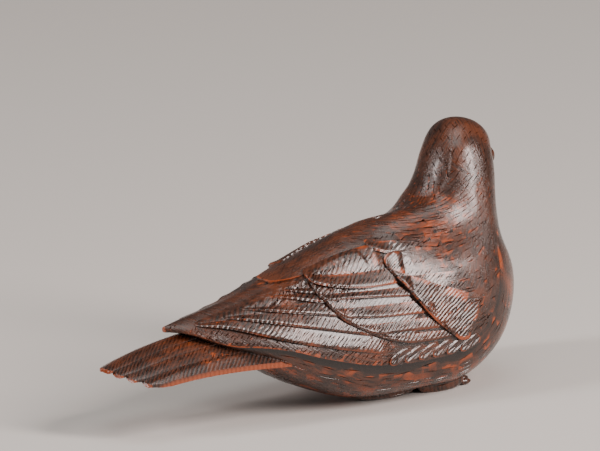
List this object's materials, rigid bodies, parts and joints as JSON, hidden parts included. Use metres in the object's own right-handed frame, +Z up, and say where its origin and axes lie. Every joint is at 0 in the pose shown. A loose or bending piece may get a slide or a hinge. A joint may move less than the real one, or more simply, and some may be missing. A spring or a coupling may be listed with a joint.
{
  "type": "netsuke",
  "caption": "Carved boxwood netsuke of a resting pigeon that looks back over its shoulder, with a cord passage under its belly.",
  "frame": {"origin": "on the surface it stands on, under the middle of the bounding box", "axes": "+X towards the breast, +Y towards the bird's left, +Z up"},
  "size_m": [0.0582, 0.02, 0.0318],
  "materials": {
    "stained_boxwood": "stained boxwood with a dark worn patina, handled to a gloss on the high places"
  },
  "bodies": {
    "root": {"carved_pigeon": "stained_boxwood"}
  },
  "joints": []
}
